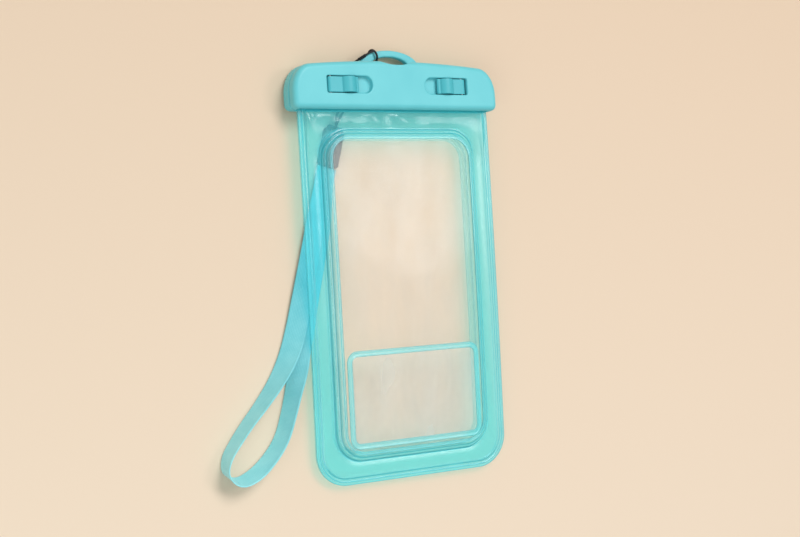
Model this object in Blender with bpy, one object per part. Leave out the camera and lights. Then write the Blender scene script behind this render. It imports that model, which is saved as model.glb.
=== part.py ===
"""Waterproof phone pouch: a film bag with clear windows, a hinged clamp with two locking
levers, and a lanyard. It lies on its back on the plane z = 0. X runs across the bag,
Y from the bag's bottom to the clamp, and Z out of the front window. Lengths are in metres."""

import math

import bmesh
import bpy
from mathutils import Matrix, Vector

for old in list(bpy.data.objects):
    bpy.data.objects.remove(old, do_unlink=True)

# Gaps between pieces
SEAT = 0.0003
RUNNING = 0.0004

# Bag
BAG_WIDTH = 0.105
BAG_LENGTH = 0.1755
BAG_CORNER = 0.0155
FILM = 0.0005
WELD_BORDER = 0.0030
BAND_PUFF = 0.0006
SIDE_BAND = 0.0101
BOTTOM_BAND = 0.0105
TOP_BAND = 0.0092
DISH_CORNER = 0.014
DISH_WALL = 0.0031
DISH_LIP = 0.0015
FRONT_DISH = 0.0042
BACK_DISH = 0.0036
NECK_PUFF = 0.0022
NECK_LENGTH = 0.0060
WINDOW_SHEET = 0.0004

# Touch panel on the front window
PANEL_LENGTH = 0.046
PANEL_EDGE_GAP = 0.0012
PANEL_RIM = 0.0028
PANEL_SHEET = 0.0004
PANEL_CORNER = 0.0055

# Clamp bars
CLAMP_OVERHANG = 0.0037
CLAMP_HEIGHT = 0.0220
FRONT_BAR = 0.0058
REAR_BAR = 0.0073
BAR_CORNER_WIDTH = 0.0100
BAR_CORNER_HEIGHT = 0.0135
BAR_BOW = 0.0014
BAR_BOW_DROP = 0.0021
BAR_BOTTOM_CORNER = 0.003
BAR_EDGE_ROUND = 0.0026
NOTCH_WIDTH = 0.019
NOTCH_DEPTH = 0.0020
BACK_RELIEF_DEPTH = 0.0018
BACK_RELIEF_WIDTH = 0.068
CORE_WALL = 0.0018
CORE_WIDTH = 0.009
CORE_CORNER = 0.0006
CORE_TOP_GAP = 0.0085

# Seal and the plate that carries it, one pair in each bar
GRIP_START = 0.0010
PLATE_HEIGHT = 0.0045
PLATE_THICKNESS = 0.00205
SEAL_HEIGHT = 0.0022
SEAL_THICKNESS = 0.0015
SEAL_GROOVE_DEPTH = 0.0016
SEAL_END_INSET = 0.0030

# Clamp hinge: the fold of the front film at the clamp's lower edge
CLAMP_HINGE_DROP = 0.0005
CLAMP_HINGE_HEIGHT = 0.00275

# Lever slots in the front bar
SLOT_LENGTH = 0.0242
SLOT_HEIGHT = 0.0081
SLOT_END_GAP = 0.0174
SLOT_BASE = 0.0075
SLOT_FLOOR = 0.0034
SLOT_INNER_ROUND = 0.0038
LATCH_WINDOW = 0.0078
LATCH_WINDOW_MARGIN = 0.0012

# Levers
LEVER_PIVOT_INSET = 0.0024
LEVER_PIVOT_HEIGHT = 0.0039
LEVER_BARREL_RADIUS = 0.0017
LEVER_PLATE = 0.0014
LEVER_REACH = 0.0171
LEVER_HUMP_PLACE = 0.0118
LEVER_HUMP_WIDTH = 0.0075
LEVER_HUMP_RISE = 0.0018
NOSE_WIDTH = 0.0015
NOSE_DEPTH = 0.0007
NOSE_TOE = 0.0003
PIN_RADIUS = 0.0008
PIN_BEARING = 0.0008

# Keeper posts on the rear bar
KEEPER_WIDTH = 0.0014
KEEPER_LENGTH = 0.0056
KEEPER_HEIGHT = 0.0013
KEEPER_POCKET_DEPTH = 0.0026

# Lanyard eye on the rear bar
ARCH_HALF_WIDTH = 0.0166
ARCH_RISE = 0.0078
ARCH_THICKNESS = 0.0032
ARCH_EDGE_ROUND = 0.0007
EYE_HALF_WIDTH = 0.0104
EYE_RISE = 0.0046
ARCH_HEIGHT = 0.0037

# Lanyard
CORD_RADIUS = 0.00055
HITCH_PLACE = -0.0080
HITCH_RADIUS = 0.00305
BUCKLE_WIDTH = 0.0100
BUCKLE_THICKNESS = 0.0029
BUCKLE_LENGTH = 0.0200
PLUG_HEAD = 0.0068
PLUG_NECK_WIDTH = 0.0072
PLUG_BAR_WIDTH = 0.0014
PLUG_BAR_THICKNESS = 0.0008
SOCKET_WALL = 0.0007
PRONG_WIDTH = 0.0016
PRONG_SPLAY = 0.0009
PRONG_TOE = 0.0020
TAB_INSET = 0.0035
TAB_LENGTH = 0.0030
TAB_RISE = 0.0006
BUCKLE_TILT = math.radians(16.5)
BUCKLE_TOP = (-0.0299, 0.0662)
RIBBON_WIDTH = 0.0100
RIBBON_THICKNESS = 0.0008

# Derived places
TOTAL_LENGTH = BAG_LENGTH + CLAMP_HEIGHT + ARCH_RISE
BAG_BOTTOM = -TOTAL_LENGTH / 2
CLAMP_BOTTOM = BAG_BOTTOM + BAG_LENGTH
CLAMP_TOP = CLAMP_BOTTOM + CLAMP_HEIGHT
CLAMP_HALF_WIDTH = BAG_WIDTH / 2 + CLAMP_OVERHANG
SLOT_CENTRE = CLAMP_HALF_WIDTH - SLOT_END_GAP - SLOT_LENGTH / 2
SPLIT = SEAT / 2
WELD_PLANE = REAR_BAR + SPLIT
DISH_BOTTOM = BAG_BOTTOM + BOTTOM_BAND
DISH_TOP = CLAMP_BOTTOM - TOP_BAND
FLOOR_SHARE = (CLAMP_BOTTOM - DISH_BOTTOM - DISH_WALL) / BAG_LENGTH
BAG_SAG = (WELD_PLANE - BACK_DISH - FILM) / FLOOR_SHARE**2
FILM_TOP = CLAMP_BOTTOM + GRIP_START - SEAT
GRIP_TOP = CLAMP_BOTTOM + GRIP_START + PLATE_HEIGHT

SEAL_LOW = SPLIT + FILM + SEAT
PLATE_LOW = SEAL_LOW + SEAL_THICKNESS + SEAT - SEAL_GROOVE_DEPTH
PLATE_HIGH = PLATE_LOW + PLATE_THICKNESS
POCKET_DEPTH = PLATE_HIGH + SEAT
BAR_FACE = SPLIT + FRONT_BAR
SLOT_LOW = CLAMP_BOTTOM + SLOT_BASE
SLOT_HIGH = SLOT_LOW + SLOT_HEIGHT
PLUG_BAR_LOW = 2 * CORD_RADIUS + SEAT
PLUG_BAR_HIGH = PLUG_BAR_LOW + PLUG_BAR_THICKNESS
SOCKET_MOUTH = PLUG_HEAD + SEAT
TAB_START = SOCKET_MOUTH + TAB_INSET
TAB_END = TAB_START + TAB_LENGTH
PRONG_TIP = TAB_END + PRONG_TOE
HANDS = (("left", -1), ("right", 1))

# Sampling of curved shapes
CORNER_STEPS = 5
BAR_CORNER_STEPS = 9
EDGE_STEPS = 6
SIDE_STEPS = 6
NOTCH_STEPS = 12
BOW_STEPS = 10
ARCH_STEPS = 24
HUMP_STEPS = 12
BORE_STEPS = 12
SPLINE_STEPS = 24
CORD_STEP = 0.0013
RIBBON_STEP = 0.0048


# Surfaces: colour, roughness, metallic, alpha
TEAL_PLASTIC = ((0.16, 0.62, 0.68), 0.42, 0.0, 1.0)
TEAL_FILM = ((0.08, 0.60, 0.66), 0.12, 0.0, 0.55)
CLEAR_FILM = ((0.85, 0.95, 0.96), 0.06, 0.0, 0.25)
SEAL_RUBBER = ((0.75, 0.85, 0.85), 0.60, 0.0, 1.0)
PIN_STEEL = ((0.60, 0.60, 0.60), 0.30, 1.0, 1.0)
BLACK_PLASTIC = ((0.02, 0.02, 0.02), 0.45, 0.0, 1.0)
BLACK_CORD = ((0.015, 0.015, 0.015), 0.80, 0.0, 1.0)
TEAL_WEBBING = ((0.16, 0.58, 0.62), 0.70, 0.0, 1.0)


def add_material(data, name, surface):
    """The piece's own material, on its mesh or curve."""
    colour, roughness, metallic, alpha = surface
    made = bpy.data.materials.new(name)
    made.use_nodes = True
    shader = made.node_tree.nodes["Principled BSDF"]
    shader.inputs["Base Color"].default_value = (*colour, 1.0)
    shader.inputs["Roughness"].default_value = roughness
    shader.inputs["Metallic"].default_value = metallic
    shader.inputs["Alpha"].default_value = alpha
    data.materials.append(made)


def add_mesh(name, bm, surface, parent=None, smooth_degrees=35.0):
    """A mesh object made from a bmesh whose points are in world space."""
    bmesh.ops.recalc_face_normals(bm, faces=bm.faces)
    if parent is not None:
        bm.transform(parent.matrix_world.inverted())
    mesh = bpy.data.meshes.new(name)
    bm.to_mesh(mesh)
    bm.free()
    mesh.shade_smooth()
    mesh.set_sharp_from_angle(angle=math.radians(smooth_degrees))
    made = bpy.data.objects.new(name, mesh)
    bpy.context.scene.collection.objects.link(made)
    made.parent = parent
    if surface is not None:
        add_material(mesh, name, surface)
    return made


def add_pivot(name, place, parent=None):
    """An empty on a joint's axis."""
    pivot = bpy.data.objects.new(name, None)
    pivot.empty_display_size = 0.005
    bpy.context.scene.collection.objects.link(pivot)
    pivot.parent = parent
    base = parent.matrix_world if parent is not None else Matrix()
    pivot.location = base.inverted() @ Vector(place)
    bpy.context.view_layer.update()
    return pivot


def cut(target, cutter, operation="DIFFERENCE"):
    """A Boolean of target with cutter, which is hidden. The cutter follows the target's parent."""
    cutter.hide_render = True
    cutter.display_type = "WIRE"
    modifier = target.modifiers.new(f"{operation.lower()}_{cutter.name}", "BOOLEAN")
    modifier.operation = operation
    modifier.object = cutter
    modifier.solver = "EXACT"


def loft(loops):
    """A closed solid through loops with equal point counts, capped at both ends."""
    bm = bmesh.new()
    rows = [[bm.verts.new(point) for point in loop] for loop in loops]
    count = len(rows[0])
    for lower, upper in zip(rows, rows[1:]):
        for i in range(count):
            j = (i + 1) % count
            bm.faces.new((lower[i], lower[j], upper[j], upper[i]))
    bm.faces.new(list(reversed(rows[0])))
    bm.faces.new(rows[-1])
    return bm


def prism(outline, low, high):
    """A straight solid over an (x, y) outline between two heights."""
    return loft([[(x, y, z) for x, y in outline] for z in (low, high)])


def prism_y(outline, low, high):
    """A straight solid over an (x, z) outline between two places along Y."""
    return loft([[(x, y, z) for x, z in outline] for y in (low, high)])


def box_outline(x_low, x_high, y_low, y_high):
    return [(x_low, y_low), (x_high, y_low), (x_high, y_high), (x_low, y_high)]


def arc(centre_x, centre_y, radius, start, end, steps):
    """Points on an arc, both ends included, with angles in degrees."""
    points = []
    for i in range(steps + 1):
        angle = math.radians(start + (end - start) * i / steps)
        points.append((centre_x + radius * math.cos(angle), centre_y + radius * math.sin(angle)))
    return points


def rounded_outline(half_width, bottom, top, bottom_radius, top_radius, side_steps=1, centre=0.0):
    """A rounded rectangle, anticlockwise from its bottom right corner, symmetric about its centre."""
    points = arc(half_width - bottom_radius, bottom + bottom_radius, bottom_radius, -90, 0, CORNER_STEPS)
    right = arc(half_width - top_radius, top - top_radius, top_radius, 0, 90, CORNER_STEPS)
    start = points[-1]
    end = right[0]
    for i in range(1, side_steps):
        share = i / side_steps
        points.append((start[0] + (end[0] - start[0]) * share, start[1] + (end[1] - start[1]) * share))
    points += right
    points += [(-x, y) for x, y in reversed(points)]
    return [(centre + x, y) for x, y in points]


def sag(y):
    """How far the bag drops from the clamp towards its bottom edge."""
    share = max(0.0, (CLAMP_BOTTOM - y) / BAG_LENGTH)
    return BAG_SAG * share**2


def smooth_share(value, start, end):
    share = min(1.0, max(0.0, (value - start) / (end - start)))
    return share * share * (3 - 2 * share)


def bag_outline(inset_side, inset_bottom, top, radius, top_radius):
    half_width = BAG_WIDTH / 2 - inset_side
    return rounded_outline(half_width, BAG_BOTTOM + inset_bottom, top, radius, top_radius, SIDE_STEPS)


def dish_outline(inset, radius):
    """The dish's outline, moved inwards."""
    return rounded_outline(
        BAG_WIDTH / 2 - SIDE_BAND - inset, DISH_BOTTOM + inset, DISH_TOP - inset, radius, radius, SIDE_STEPS
    )


def band_height(y, puff):
    """Height of the film's inner face in the band round the dish: more near the clamp, for the neck."""
    return puff + (NECK_PUFF - puff) * smooth_share(y, DISH_TOP - DISH_CORNER, DISH_TOP)


def film_loops(dish_height):
    """The film's loops from the bag's edge to the window, as (x, y, height of the inner face)."""
    square = SEAT
    neck_top = CLAMP_BOTTOM - (TOP_BAND - NECK_LENGTH)
    mid_inset = (WELD_BORDER + SIDE_BAND) / 2
    edge = bag_outline(0.0, 0.0, FILM_TOP, BAG_CORNER, square)
    weld = bag_outline(
        WELD_BORDER, WELD_BORDER, FILM_TOP - square, BAG_CORNER - WELD_BORDER, square
    )
    middle = bag_outline(mid_inset, mid_inset, neck_top, BAG_CORNER - WELD_BORDER, DISH_CORNER / 2)
    outer = dish_outline(0.0, DISH_CORNER)
    inner = dish_outline(DISH_WALL, DISH_CORNER - DISH_WALL)
    window = dish_outline(DISH_WALL + DISH_LIP, DISH_CORNER - DISH_WALL - DISH_LIP)
    return [
        [(x, y, SPLIT) for x, y in edge],
        [(x, y, SPLIT) for x, y in weld],
        [(x, y, band_height(y, SPLIT + BAND_PUFF)) for x, y in middle],
        [(x, y, band_height(y, SPLIT + BAND_PUFF / 2)) for x, y in outer],
        [(x, y, dish_height) for x, y in inner],
        [(x, y, dish_height) for x, y in window],
    ]


def ring_film(loops, thickness, side):
    """A film with a window: an inner and an outer skin over nested loops, joined at both rims."""
    bm = bmesh.new()
    skins = []
    for extra in (0.0, thickness):
        skins.append([
            [bm.verts.new((x, y, WELD_PLANE + side * (h + extra) - sag(y))) for x, y, h in loop]
            for loop in loops
        ])
    count = len(loops[0])
    inner_skin, outer_skin = skins
    rows = inner_skin + list(reversed(outer_skin)) + [inner_skin[0]]
    for first, second in zip(rows, rows[1:]):
        for i in range(count):
            j = (i + 1) % count
            bm.faces.new((first[i], first[j], second[j], second[i]))
    return bm


def sheet(outline, height, thickness, side):
    """A flat film over an outline that is symmetric in X, cut into rows so that it follows the sag."""
    bm = bmesh.new()
    half = outline[: len(outline) // 2]
    skins = []
    for level in (height, height + thickness):
        rows = []
        for x, y in half:
            z = WELD_PLANE + side * level - sag(y)
            rows.append((bm.verts.new((-x, y, z)), bm.verts.new((x, y, z))))
        skins.append(rows)
    for rows in skins:
        for (a, b), (c, d) in zip(rows, rows[1:]):
            bm.faces.new((a, b, d, c))
    lower, upper = skins
    for k in (0, 1):
        for i in range(len(half) - 1):
            bm.faces.new((lower[i][k], lower[i + 1][k], upper[i + 1][k], upper[i][k]))
    for i in (0, -1):
        bm.faces.new((lower[i][0], lower[i][1], upper[i][1], upper[i][0]))
    return bm


def add_bag():
    for side, name, dish in ((1, "front", FRONT_DISH), (-1, "back", BACK_DISH)):
        add_mesh(f"{name}_film", ring_film(film_loops(dish), FILM, side), TEAL_FILM)
        inset = DISH_WALL + DISH_LIP + SEAT
        pane = dish_outline(inset, DISH_CORNER - inset)
        add_mesh(f"{name}_window", sheet(pane, dish, WINDOW_SHEET, side), CLEAR_FILM)


def add_touch_panel():
    """A softer panel on the lower part of the front window, in a welded rim."""
    edge = DISH_WALL + DISH_LIP + PANEL_EDGE_GAP
    half_width = BAG_WIDTH / 2 - SIDE_BAND - edge
    bottom = DISH_BOTTOM + edge
    height = FRONT_DISH + FILM + SEAT

    def panel_outline(inset):
        radius = PANEL_CORNER - inset
        return rounded_outline(
            half_width - inset, bottom + inset, bottom + PANEL_LENGTH - inset, radius, radius, SIDE_STEPS
        )

    rim = [[(x, y, height) for x, y in panel_outline(inset)] for inset in (0.0, PANEL_RIM)]
    add_mesh("touch_panel_rim", ring_film(rim, FILM, 1), TEAL_FILM)
    pane = panel_outline(PANEL_RIM + SEAT)
    add_mesh("touch_panel", sheet(pane, height, PANEL_SHEET, 1), CLEAR_FILM)


def clamp_outline(inset):
    """A bar's outline, moved inwards: small lower corners, tall upper corners and a bowed top edge."""
    half = CLAMP_HALF_WIDTH - inset
    low_radius = max(BAR_BOTTOM_CORNER - inset, SEAT)
    points = arc(half - low_radius, CLAMP_BOTTOM + inset + low_radius, low_radius, -90, 0, BAR_CORNER_STEPS)
    bow_half = CLAMP_HALF_WIDTH - BAR_CORNER_WIDTH
    wide = BAR_CORNER_WIDTH - inset
    tall = BAR_CORNER_HEIGHT - inset
    shoulder = CLAMP_TOP + BAR_BOW - BAR_BOW_DROP - BAR_CORNER_HEIGHT
    for i in range(BAR_CORNER_STEPS):
        angle = math.pi / 2 * i / BAR_CORNER_STEPS
        points.append((bow_half + wide * math.cos(angle), shoulder + tall * math.sin(angle)))
    for i in range(BOW_STEPS):
        x = bow_half * (1 - i / BOW_STEPS)
        points.append((x, CLAMP_TOP + BAR_BOW - inset - BAR_BOW_DROP * (x / bow_half) ** 2))
    left = [(-x, y) for x, y in reversed(points)]
    return points + [(0.0, CLAMP_TOP + BAR_BOW - inset)] + left


def bar_body(low, high, round_low, round_high):
    """A clamp bar before its cuts, with quarter-round edges at the faces that are seen."""
    rounding = []
    for i in range(EDGE_STEPS + 1):
        angle = math.pi / 2 * i / EDGE_STEPS
        rounding.append((BAR_EDGE_ROUND * (1 - math.sin(angle)), BAR_EDGE_ROUND * (1 - math.cos(angle))))
    stations = [(inset, low + rise) for inset, rise in rounding] if round_low else [(0.0, low)]
    if round_high:
        stations += [(inset, high - rise) for inset, rise in reversed(rounding)]
    else:
        stations.append((0.0, high))
    loops = []
    for inset, z in stations:
        loops.append([(x, y, z) for x, y in clamp_outline(inset)])
    return loft(loops)


def cutter(name, bm, parent=None):
    return add_mesh(name, bm, None, parent)


def notch_cutter(name, low, high, parent=None):
    """The shallow round notch in a bar's top edge."""
    half = NOTCH_WIDTH / 2
    radius = (half**2 + NOTCH_DEPTH**2) / (2 * NOTCH_DEPTH)
    edge = CLAMP_TOP + BAR_BOW
    spread = math.degrees(math.asin(half / radius))
    outline = arc(0.0, edge - NOTCH_DEPTH + radius, radius, 270 - spread, 270 + spread, NOTCH_STEPS)
    outline += [(half, edge + SEAT), (-half, edge + SEAT)]
    return cutter(name, prism(outline, low, high), parent)


def core_places():
    """Centres of the cored pockets, clear of the lever slots: two in the middle, one at each end."""
    middle = (CORE_WIDTH + CORE_WALL) / 2
    end = CLAMP_HALF_WIDTH - CORE_WALL - CORE_WIDTH / 2
    return (-end, -middle, middle, end)


def core_cutter(name, centre, low, high, parent=None):
    bottom = GRIP_TOP + CORE_WALL
    top = CLAMP_TOP - CORE_TOP_GAP - CORE_WALL
    outline = rounded_outline(CORE_WIDTH / 2, bottom, top, CORE_CORNER, CORE_CORNER, centre=centre)
    return cutter(name, prism(outline, low, high), parent)


def plate_pocket(name, low, high, parent=None):
    """Room for the seal plate, open at the clamp's lower edge for the film."""
    half = BAG_WIDTH / 2 + SEAT
    outline = box_outline(-half, half, CLAMP_BOTTOM - CLAMP_HEIGHT, GRIP_TOP + SEAT)
    return cutter(name, prism(outline, low, high), parent)


def seal_plate(name, side, parent):
    """The plate, with a groove for the seal in the face towards the film."""
    half = BAG_WIDTH / 2
    bottom = CLAMP_BOTTOM + GRIP_START + SEAT
    top = GRIP_TOP
    levels = sorted(WELD_PLANE + side * h for h in (PLATE_LOW, PLATE_HIGH))
    plate = add_mesh(name, prism(box_outline(-half, half, bottom, top), *levels), TEAL_PLASTIC, parent)
    centre = (bottom + top) / 2
    reach = SEAL_HEIGHT / 2 + SEAT
    end = half - SEAL_END_INSET + SEAT
    depth = sorted(WELD_PLANE + side * h for h in (0.0, PLATE_LOW + SEAL_GROOVE_DEPTH))
    groove = box_outline(-end, end, centre - reach, centre + reach)
    cut(plate, cutter(f"{name}_groove", prism(groove, *depth), parent))
    reach -= SEAT
    end -= SEAT
    strip = box_outline(-end, end, centre - reach, centre + reach)
    levels = sorted(WELD_PLANE + side * h for h in (SEAL_LOW, SEAL_LOW + SEAL_THICKNESS))
    seal_name = name.replace("inner_plate", "seal")
    add_mesh(seal_name, prism(strip, *levels), SEAL_RUBBER, parent)


def mouth_strip(name, side, parent):
    """The end of the film, held between the seals."""
    half = BAG_WIDTH / 2 - SEAT
    outline = box_outline(-half, half, CLAMP_BOTTOM + GRIP_START, GRIP_TOP)
    levels = sorted(WELD_PLANE + side * h for h in (SPLIT, SPLIT + FILM))
    add_mesh(name, prism(outline, *levels), TEAL_FILM, parent)


def slot_outline(hand):
    """A lever slot: square at its outer end, round at its inner end."""
    outer = SLOT_CENTRE + SLOT_LENGTH / 2
    inner = SLOT_CENTRE - SLOT_LENGTH / 2
    radius = SLOT_INNER_ROUND
    points = [(outer, SLOT_LOW), (outer, SLOT_HIGH)]
    points += arc(inner + radius, SLOT_HIGH - radius, radius, 90, 180, BAR_CORNER_STEPS)
    points += arc(inner + radius, SLOT_LOW + radius, radius, 180, 270, BAR_CORNER_STEPS)
    return [(hand * x, y) for x, y in points]


def along_slot(hand, u):
    """X of a place measured inwards from the slot's outer end."""
    return hand * (SLOT_CENTRE + SLOT_LENGTH / 2 - u)


def slot_box(hand, u_low, u_high, y_margin, low, high):
    """A box in a slot's own measure, from u_low to u_high inwards of its outer end."""
    x_low, x_high = sorted((along_slot(hand, u_low), along_slot(hand, u_high)))
    outline = box_outline(x_low, x_high, SLOT_LOW + y_margin, SLOT_HIGH - y_margin)
    return prism(outline, WELD_PLANE + low, WELD_PLANE + high)


def cylinder_y(x, z, radius, low, high, steps):
    return prism_y(arc(x, z, radius, 0, 360, steps)[:-1], low, high)


def add_front_bar(parent):
    low = WELD_PLANE + SPLIT
    high = WELD_PLANE + BAR_FACE
    bar = add_mesh("front_clamp_bar", bar_body(low, high, False, True), TEAL_PLASTIC, parent)
    below = WELD_PLANE - SEAT
    cut(bar, plate_pocket("front_plate_pocket", below, WELD_PLANE + POCKET_DEPTH, parent))
    cut(bar, notch_cutter("front_notch", below, high + SEAT, parent))
    for k, centre in enumerate(core_places()):
        cut(bar, core_cutter(f"front_core_{k}", centre, below, high - CORE_WALL, parent))
    for name, hand in HANDS:
        recess = prism(slot_outline(hand), WELD_PLANE + SLOT_FLOOR, high + SEAT)
        cut(bar, cutter(f"slot_recess_{name}", recess, parent))
        window = slot_box(hand, 0.0, LATCH_WINDOW, -LATCH_WINDOW_MARGIN, -SEAT, SLOT_FLOOR + SEAT)
        cut(bar, cutter(f"latch_window_{name}", window, parent))
        bore = cylinder_y(
            along_slot(hand, LEVER_PIVOT_INSET),
            WELD_PLANE + LEVER_PIVOT_HEIGHT,
            PIN_RADIUS + SEAT,
            SLOT_LOW - PIN_BEARING,
            SLOT_HIGH + PIN_BEARING,
            BORE_STEPS,
        )
        cut(bar, cutter(f"pin_bore_{name}", bore, parent))
    return bar


def arch_outline(half_width, rise):
    """Half an ellipse standing on the bar's top edge, with its feet carried down into the bar."""
    points = [(half_width, CLAMP_TOP - 2 * NOTCH_DEPTH)]
    for i in range(ARCH_STEPS + 1):
        angle = math.pi * i / ARCH_STEPS
        points.append((half_width * math.cos(angle), CLAMP_TOP + rise * math.sin(angle)))
    points.append((-half_width, CLAMP_TOP - 2 * NOTCH_DEPTH))
    return points


def add_rear_bar():
    low = 0.0
    high = WELD_PLANE - SPLIT
    bar = add_mesh("rear_clamp_bar", bar_body(low, high, True, False), TEAL_PLASTIC)
    arch_low = ARCH_HEIGHT - ARCH_THICKNESS / 2
    arch_high = ARCH_HEIGHT + ARCH_THICKNESS / 2
    arch = cutter("eye_arch", prism(arch_outline(ARCH_HALF_WIDTH, ARCH_RISE), arch_low, arch_high))
    bevel = arch.modifiers.new("round_edges", "BEVEL")
    bevel.width = ARCH_EDGE_ROUND
    bevel.segments = 2
    bevel.limit_method = "ANGLE"
    bevel.angle_limit = math.radians(60)
    cut(bar, arch, "UNION")
    eye = prism(arch_outline(EYE_HALF_WIDTH, EYE_RISE)[1:-1], -SEAT, high + SEAT)
    cut(bar, cutter("eye_hole", eye))
    cut(bar, notch_cutter("rear_notch", -SEAT, high + SEAT))
    cut(bar, plate_pocket("rear_plate_pocket", WELD_PLANE - POCKET_DEPTH, high + SEAT))
    half = BACK_RELIEF_WIDTH / 2
    relief = box_outline(-half, half, CLAMP_BOTTOM - SEAT, CLAMP_TOP + SEAT)
    cut(bar, cutter("back_relief", prism(relief, -SEAT, BACK_RELIEF_DEPTH)))
    for k, centre in enumerate(core_places()):
        cut(bar, core_cutter(f"rear_core_{k}", centre, BACK_RELIEF_DEPTH + CORE_WALL, high + SEAT))
    for name, hand in HANDS:
        pocket = slot_box(hand, 0.0, LATCH_WINDOW, -LATCH_WINDOW_MARGIN, -KEEPER_POCKET_DEPTH, SEAT)
        cut(bar, cutter(f"latch_pocket_{name}", pocket))
        middle = (SLOT_HEIGHT - KEEPER_LENGTH) / 2
        foot = -KEEPER_POCKET_DEPTH - CORE_WALL / 2
        post = slot_box(hand, SEAT, SEAT + KEEPER_WIDTH, middle, foot, KEEPER_HEIGHT)
        cut(bar, cutter(f"keeper_{name}", post), "UNION")
    return bar


def lever_profile():
    """The lever's side view as (inwards, up) from its pivot, anticlockwise."""
    plate_top = BAR_FACE - LEVER_PIVOT_HEIGHT - SEAT
    plate_low = plate_top - LEVER_PLATE
    reach = LEVER_REACH - LEVER_PIVOT_INSET
    hump = LEVER_HUMP_PLACE - LEVER_PIVOT_INSET
    radius = LEVER_BARREL_RADIUS
    nose_low = -(LEVER_PIVOT_HEIGHT + NOSE_DEPTH)
    toe = SEAT + KEEPER_WIDTH + SEAT - LEVER_PIVOT_INSET
    nose_out = toe + NOSE_TOE
    nose_in = nose_out + NOSE_WIDTH
    points = [(toe, nose_low), (nose_in, nose_low), (nose_in, -radius * 0.7)]
    points += arc(0.0, 0.0, radius, -20, 0, 2)
    points.append((radius + LEVER_PLATE, plate_low))
    points.append((reach - LEVER_PLATE / 2, plate_low))
    points.append((reach, plate_low + LEVER_PLATE / 2))
    points.append((reach - LEVER_PLATE / 2, plate_top))
    rise = LEVER_HUMP_RISE + SEAT
    for i in range(HUMP_STEPS + 1):
        share = i / HUMP_STEPS
        across = hump + LEVER_HUMP_WIDTH / 2 * (1 - 2 * share)
        points.append((across, plate_top + rise * math.sin(math.pi * share) ** 0.7))
    points.append((radius, plate_top))
    points += arc(0.0, 0.0, radius, 90, 215, 6)
    points.append((nose_out, -radius))
    points.append((nose_out, nose_low + 2 * NOSE_TOE))
    points.append((toe, nose_low + NOSE_TOE))
    return points


def add_levers(parent):
    for name, hand in HANDS:
        x = along_slot(hand, LEVER_PIVOT_INSET)
        z = WELD_PLANE + LEVER_PIVOT_HEIGHT
        pivot = add_pivot(f"lever_pivot_{name}", (x, (SLOT_LOW + SLOT_HIGH) / 2, z), parent)
        outline = [(x - hand * u, z + w) for u, w in lever_profile()]
        body = prism_y(outline, SLOT_LOW + RUNNING, SLOT_HIGH - RUNNING)
        lever = add_mesh(f"lock_lever_{name}", body, TEAL_PLASTIC, pivot)
        bore = cylinder_y(x, z, PIN_RADIUS + SEAT, SLOT_LOW - SEAT, SLOT_HIGH + SEAT, BORE_STEPS)
        cut(lever, cutter(f"lever_bore_{name}", bore, pivot))
        end = PIN_BEARING - SEAT
        pin = cylinder_y(x, z, PIN_RADIUS, SLOT_LOW - end, SLOT_HIGH + end, BORE_STEPS)
        add_mesh(f"lever_pin_{name}", pin, PIN_STEEL, parent)


def add_clamp():
    place = (0.0, CLAMP_BOTTOM - CLAMP_HINGE_DROP, WELD_PLANE + CLAMP_HINGE_HEIGHT)
    hinge = add_pivot("clamp_hinge", place)
    add_front_bar(hinge)
    seal_plate("front_inner_plate", 1, hinge)
    mouth_strip("front_mouth_strip", 1, hinge)
    add_levers(hinge)
    add_rear_bar()
    seal_plate("rear_inner_plate", -1, None)
    mouth_strip("rear_mouth_strip", -1, None)


def smooth_route(points, step):
    """A centripetal spline through the route's points, read at an even step."""
    ends = [2 * points[0] - points[1]] + points + [2 * points[-1] - points[-2]]
    dense = []
    for a, b, c, d in zip(ends, ends[1:], ends[2:], ends[3:]):
        t0 = 0.0
        t1 = t0 + math.sqrt((b - a).length)
        t2 = t1 + math.sqrt((c - b).length)
        t3 = t2 + math.sqrt((d - c).length)
        for i in range(SPLINE_STEPS):
            t = t1 + (t2 - t1) * i / SPLINE_STEPS
            ab = a.lerp(b, (t - t0) / (t1 - t0))
            bc = b.lerp(c, (t - t1) / (t2 - t1))
            cd = c.lerp(d, (t - t2) / (t3 - t2))
            abc = ab.lerp(bc, (t - t0) / (t2 - t0))
            bcd = bc.lerp(cd, (t - t1) / (t3 - t1))
            dense.append(abc.lerp(bcd, (t - t1) / (t2 - t1)))
    dense.append(points[-1])
    lengths = [0.0]
    for a, b in zip(dense, dense[1:]):
        lengths.append(lengths[-1] + (b - a).length)
    count = max(2, round(lengths[-1] / step))
    read = []
    k = 0
    for i in range(count + 1):
        wanted = lengths[-1] * i / count
        while k < len(dense) - 2 and lengths[k + 1] < wanted:
            k += 1
        share = (wanted - lengths[k]) / (lengths[k + 1] - lengths[k])
        read.append(dense[k].lerp(dense[k + 1], share))
    return read


def buckle_place(across, along, z):
    """A place on the buckle: across its width, along it from its top end, and above the ground."""
    turned = Matrix.Rotation(-BUCKLE_TILT, 3, "Z") @ Vector((across, -along, 0.0))
    return Vector((BUCKLE_TOP[0] + turned.x, BUCKLE_TOP[1] + turned.y, z))


def buckle_prism(outline, low, high):
    places = [buckle_place(across, along, 0.0) for across, along in outline]
    return prism([(p.x, p.y) for p in places], low, high)


def hitch_centre():
    """Where the cord's bight crosses the middle of the eye's arch, and the arch's slope there."""
    half_width = (ARCH_HALF_WIDTH + EYE_HALF_WIDTH) / 2
    rise = (ARCH_RISE + EYE_RISE) / 2
    angle = math.acos(HITCH_PLACE / half_width)
    place = Vector((HITCH_PLACE, CLAMP_TOP + rise * math.sin(angle), ARCH_HEIGHT))
    return place, math.atan2(rise * math.cos(angle), -half_width * math.sin(angle)) + math.pi


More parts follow.
